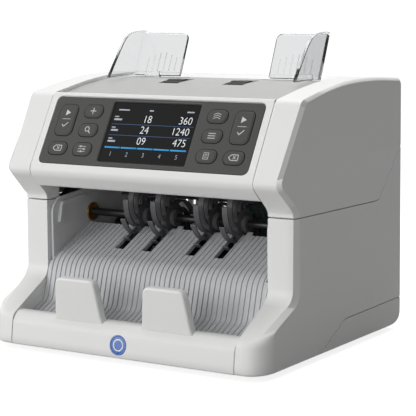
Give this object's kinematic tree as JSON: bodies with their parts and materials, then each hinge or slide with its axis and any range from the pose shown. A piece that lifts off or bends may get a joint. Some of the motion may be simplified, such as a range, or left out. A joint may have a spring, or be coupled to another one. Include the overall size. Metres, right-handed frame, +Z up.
{
  "type": "banknote counting machine",
  "caption": "Desktop banknote counter with top hopper, slanted display and key panel, front stacker pocket and a tip-back upper unit.",
  "frame": {"origin": "centre of the machine's bounding box in plan, on the resting plane under the feet", "axes": "+X to the machine's right as seen from the front, -Y towards the front with the stacker pocket and control panel, +Z up"},
  "size_m": [0.248, 0.2239, 0.2405],
  "materials": {
    "lower_shell": "fine-textured off-white moulding",
    "upper_shell": "fine-textured off-white moulding",
    "badge_blue": "domed blue insert",
    "stacker_grey": "grooved light grey moulding",
    "hopper_grey": "mid grey moulding",
    "frame_dark": "dark grey moulding",
    "rubber_black": "matt rubber",
    "steel": "ground steel",
    "gear_plastic": "engineering plastic",
    "bronze": "sintered bronze",
    "black_plastic": "black moulding",
    "port_metal": "plated sheet",
    "board_green": "solder-masked board",
    "motor_can": "dark painted can",
    "bezel_grey": "dark grey keypad plate",
    "window_black": "black glazed display window",
    "key_grey": "dark grey keys",
    "clear_plastic": "clear moulded plastic"
  },
  "bodies": {
    "base": {"base_pan": "lower_shell", "lower_left_cover": "lower_shell", "lower_right_cover": "lower_shell", "front_tray": "lower_shell", "badge": "badge_blue", "stacker_plate": "stacker_grey", "rear_cover": "lower_shell", "left_frame": "frame_dark", "right_frame": "frame_dark", "feet": "rubber_black", "rear_screws": "steel", "inlet_module": "black_plastic", "data_ports": "port_metal", "main_board": "board_green", "power_supply": "port_metal", "motor_body": "motor_can", "feed_belt": "rubber_black", "pickup_belt": "rubber_black", "stacker_belt": "rubber_black", "shaft_bushes": "bronze", "sensor_bars": "frame_dark", "note_guides": "frame_dark", "tie_rods": "steel", "hinge_pins": "steel"},
    "upper_unit": {"upper_left_cover": "upper_shell", "upper_right_cover": "upper_shell", "top_cover": "upper_shell", "control_cover": "upper_shell", "control_bezel": "bezel_grey", "display_window": "window_black", "display_module": "port_metal", "keypad_board": "board_green", "hopper_plate": "hopper_grey"},
    "motor_rotor": {"motor_pulley": "steel"},
    "feed_drive": {"feed_shaft": "steel", "feed_rollers": "rubber_black", "feed_pulleys": "gear_plastic"},
    "pickup_drive": {"pickup_shaft": "steel", "pickup_rollers": "rubber_black", "pickup_pulley": "gear_plastic"},
    "stacker_drive": {"stacker_shaft": "steel", "stacker_wheels": "rubber_black", "stacker_pulley": "gear_plastic"},
    "power_rocker": {"power_rocker": "black_plastic"},
    "guide_pinion": {"guide_pinion": "gear_plastic"},
    "left_guide": {"left_guide": "clear_plastic", "left_rack": "gear_plastic"},
    "right_guide": {"right_guide": "clear_plastic", "right_rack": "gear_plastic"},
    "key_start_left": {"key_start_left": "key_grey"},
    "key_clear_left": {"key_clear_left": "key_grey"},
    "key_add": {"key_add": "key_grey"},
    "key_detect": {"key_detect": "key_grey"},
    "key_mode": {"key_mode": "key_grey"},
    "key_batch": {"key_batch": "key_grey"},
    "key_menu": {"key_menu": "key_grey"},
    "key_report": {"key_report": "key_grey"},
    "key_start_right": {"key_start_right": "key_grey"},
    "key_clear_right": {"key_clear_right": "key_grey"}
  },
  "joints": [
    {"name": "upper_unit_tilt", "type": "hinge", "parent": "base", "child": "upper_unit", "pos_m": [0, 0.1085, 0.15], "axis": [-1, 0, 0], "range_deg": [0, 65]},
    {"name": "feed_spin", "type": "hinge", "parent": "base", "child": "feed_drive", "pos_m": [0, 0.038, 0.14], "axis": [1, 0, 0], "continuous": true},
    {"name": "motor_spin", "type": "hinge", "parent": "base", "child": "motor_rotor", "pos_m": [0, 0.072, 0.046], "axis": [1, 0, 0], "continuous": true},
    {"name": "pickup_spin", "type": "hinge", "parent": "base", "child": "pickup_drive", "pos_m": [0, 0.018, 0.1908], "axis": [1, 0, 0], "continuous": true},
    {"name": "stacker_spin", "type": "hinge", "parent": "base", "child": "stacker_drive", "pos_m": [0, -0.008, 0.095], "axis": [1, 0, 0], "continuous": true},
    {"name": "power_rocker_tilt", "type": "hinge", "parent": "base", "child": "power_rocker", "pos_m": [-0.043, 0.1075, 0.048], "axis": [1, 0, 0], "range_deg": [-11, 11]},
    {"name": "pinion_spin", "type": "hinge", "parent": "upper_unit", "child": "guide_pinion", "pos_m": [0, 0.048, 0.195], "axis": [0, 0, 1], "range_deg": [-30, 159]},
    {"name": "left_guide_slide", "type": "slide", "parent": "upper_unit", "child": "left_guide", "axis": [1, 0, 0], "range_m": [-0.004, 0.022]},
    {"name": "right_guide_slide", "type": "slide", "parent": "upper_unit", "child": "right_guide", "axis": [-1, 0, 0], "range_m": [-0.004, 0.022]},
    {"name": "key_start_left_press", "type": "slide", "parent": "upper_unit", "child": "key_start_left", "axis": [0, 0.8643, -0.5031], "range_m": [0, 0.0008], "stiffness_N_per_m": 400},
    {"name": "key_clear_left_press", "type": "slide", "parent": "upper_unit", "child": "key_clear_left", "axis": [0, 0.8643, -0.5031], "range_m": [0, 0.0008], "stiffness_N_per_m": 400},
    {"name": "key_add_press", "type": "slide", "parent": "upper_unit", "child": "key_add", "axis": [0, 0.8643, -0.5031], "range_m": [0, 0.0008], "stiffness_N_per_m": 400},
    {"name": "key_detect_press", "type": "slide", "parent": "upper_unit", "child": "key_detect", "axis": [0, 0.8643, -0.5031], "range_m": [0, 0.0008], "stiffness_N_per_m": 400},
    {"name": "key_mode_press", "type": "slide", "parent": "upper_unit", "child": "key_mode", "axis": [0, 0.8643, -0.5031], "range_m": [0, 0.0008], "stiffness_N_per_m": 400},
    {"name": "key_batch_press", "type": "slide", "parent": "upper_unit", "child": "key_batch", "axis": [0, 0.8643, -0.5031], "range_m": [0, 0.0008], "stiffness_N_per_m": 400},
    {"name": "key_menu_press", "type": "slide", "parent": "upper_unit", "child": "key_menu", "axis": [0, 0.8643, -0.5031], "range_m": [0, 0.0008], "stiffness_N_per_m": 400},
    {"name": "key_report_press", "type": "slide", "parent": "upper_unit", "child": "key_report", "axis": [0, 0.8643, -0.5031], "range_m": [0, 0.0008], "stiffness_N_per_m": 400},
    {"name": "key_start_right_press", "type": "slide", "parent": "upper_unit", "child": "key_start_right", "axis": [0, 0.8643, -0.5031], "range_m": [0, 0.0008], "stiffness_N_per_m": 400},
    {"name": "key_clear_right_press", "type": "slide", "parent": "upper_unit", "child": "key_clear_right", "axis": [0, 0.8643, -0.5031], "range_m": [0, 0.0008], "stiffness_N_per_m": 400}
  ],
  "couplings": [
    {"joint": "motor_spin", "follows": "feed_spin", "ratio": 2},
    {"joint": "pickup_spin", "follows": "feed_spin", "ratio": 1},
    {"joint": "stacker_spin", "follows": "feed_spin", "ratio": 0.5},
    {"joint": "pinion_spin", "follows": "left_guide_slide", "rad_per_m": 125},
    {"joint": "right_guide_slide", "follows": "left_guide_slide", "ratio": 1}
  ]
}
